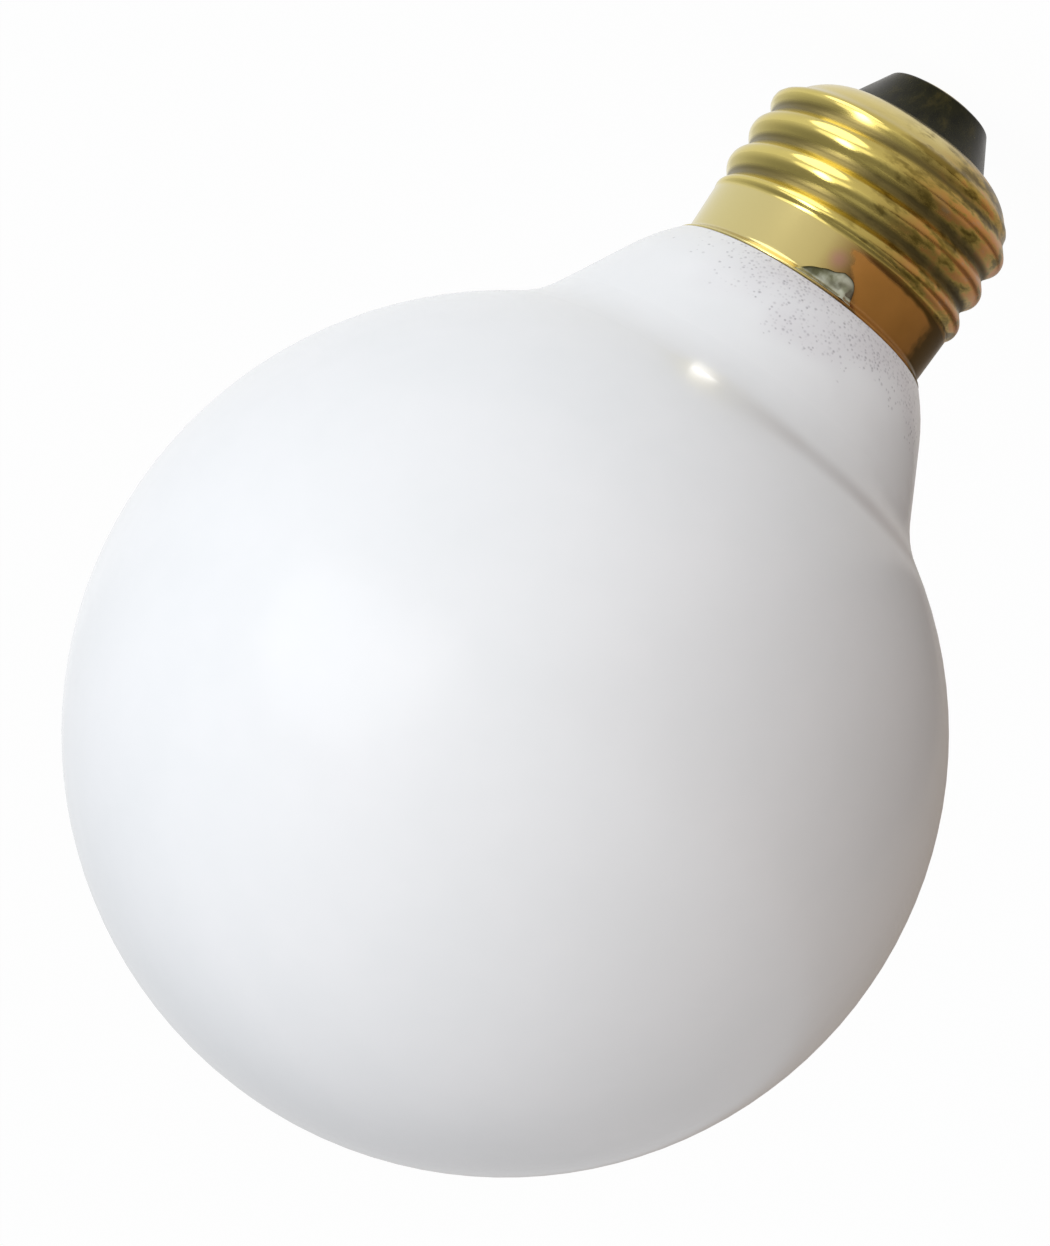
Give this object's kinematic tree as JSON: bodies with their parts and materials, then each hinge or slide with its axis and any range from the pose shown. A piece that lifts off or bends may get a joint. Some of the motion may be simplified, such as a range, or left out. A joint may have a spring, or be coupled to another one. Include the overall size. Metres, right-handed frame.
{
  "type": "incandescent bulb",
  "caption": "Globe-shaped incandescent bulb with opaque white glass, a short tapered neck and a brass screw cap with a black glass insulator and soldered contacts.",
  "frame": {"origin": "centre of the flat of the centre solder, where the bulb meets the socket's centre contact", "axes": "+Z along the bulb's axis, from the cap to the top of the globe; -Y is the side of the side solder, 10 degrees towards -X from it"},
  "size_m": [0.0794, 0.0794, 0.1112],
  "materials": {
    "opal_glass": "blown glass, coated opaque white, glossy",
    "shell_brass": "rolled brass sheet, lacquered, tarnished on one side",
    "black_glass": "moulded black glass, glossy",
    "contact_brass": "stamped brass",
    "solder": "tin solder, dull",
    "cement": "baked capping cement",
    "lead_wire": "drawn copper wire"
  },
  "bodies": {
    "root": {"glass_globe": "opal_glass", "screw_shell": "shell_brass", "base_insulator": "black_glass", "centre_contact": "contact_brass", "centre_solder": "solder", "side_solder": "solder", "base_cement": "cement", "side_lead_wire": "lead_wire", "centre_lead_wire": "lead_wire"}
  },
  "joints": []
}
